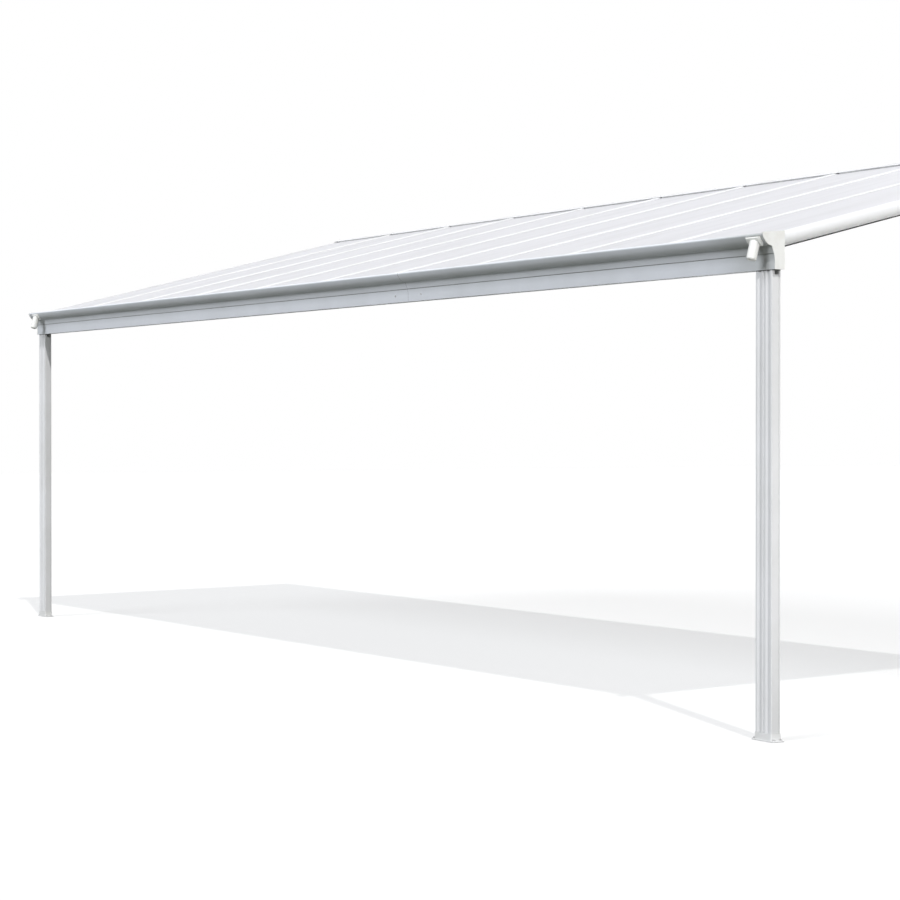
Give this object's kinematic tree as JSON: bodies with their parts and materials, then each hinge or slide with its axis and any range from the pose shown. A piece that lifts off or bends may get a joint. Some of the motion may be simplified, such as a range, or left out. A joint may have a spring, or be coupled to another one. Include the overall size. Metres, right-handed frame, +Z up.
{
  "type": "patio cover",
  "caption": "Lean-to patio cover: translucent panels between white sloping rafters, a wall rail behind, a gutter beam with outlet stubs along the front, and fluted corner posts.",
  "frame": {"origin": "centre of the wall rail's flat back face", "axes": "+X along the house to the right seen from the garden, +Y into the wall, +Z up"},
  "size_m": [8.75, 2.6391, 2.8764],
  "materials": {
    "frame": "white powder coat on aluminium, satin",
    "gutter": "white powder coat on aluminium, semi-gloss",
    "post": "white powder coat on fluted aluminium",
    "bracket": "white powder coat, satin",
    "panel": "translucent white twin-wall sheet",
    "white_plastic": "moulded white plastic",
    "seal": "dark rubber"
  },
  "bodies": {
    "root": {"glazing_caps": "frame", "gutter_end_cap_left": "white_plastic", "gutter_end_cap_right": "white_plastic", "gutter_joint_gasket": "seal", "gutter_left": "gutter", "gutter_right": "gutter", "gutter_splice_sleeve": "gutter", "panel_front_trims": "white_plastic", "post_foot_left": "bracket", "post_foot_right": "bracket", "post_left": "post", "post_right": "post", "post_top_bracket_left": "bracket", "post_top_bracket_right": "bracket", "rafter_1": "frame", "rafter_2": "frame", "rafter_3": "frame", "rafter_4": "frame", "rafter_5": "frame", "rafter_6": "frame", "rafter_7": "frame", "rafter_8": "frame", "rafter_9": "frame", "roof_panel_1": "panel", "roof_panel_10": "panel", "roof_panel_2": "panel", "roof_panel_3": "panel", "roof_panel_4": "panel", "roof_panel_5": "panel", "roof_panel_6": "panel", "roof_panel_7": "panel", "roof_panel_8": "panel", "roof_panel_9": "panel", "side_profile_left": "frame", "side_profile_right": "frame", "side_seal_left": "seal", "side_seal_right": "seal", "spout_left": "white_plastic", "spout_right": "white_plastic", "wall_rail_end_left": "white_plastic", "wall_rail_end_right": "white_plastic", "wall_rail_left": "frame", "wall_rail_right": "frame", "wall_seal": "seal"}
  },
  "joints": []
}
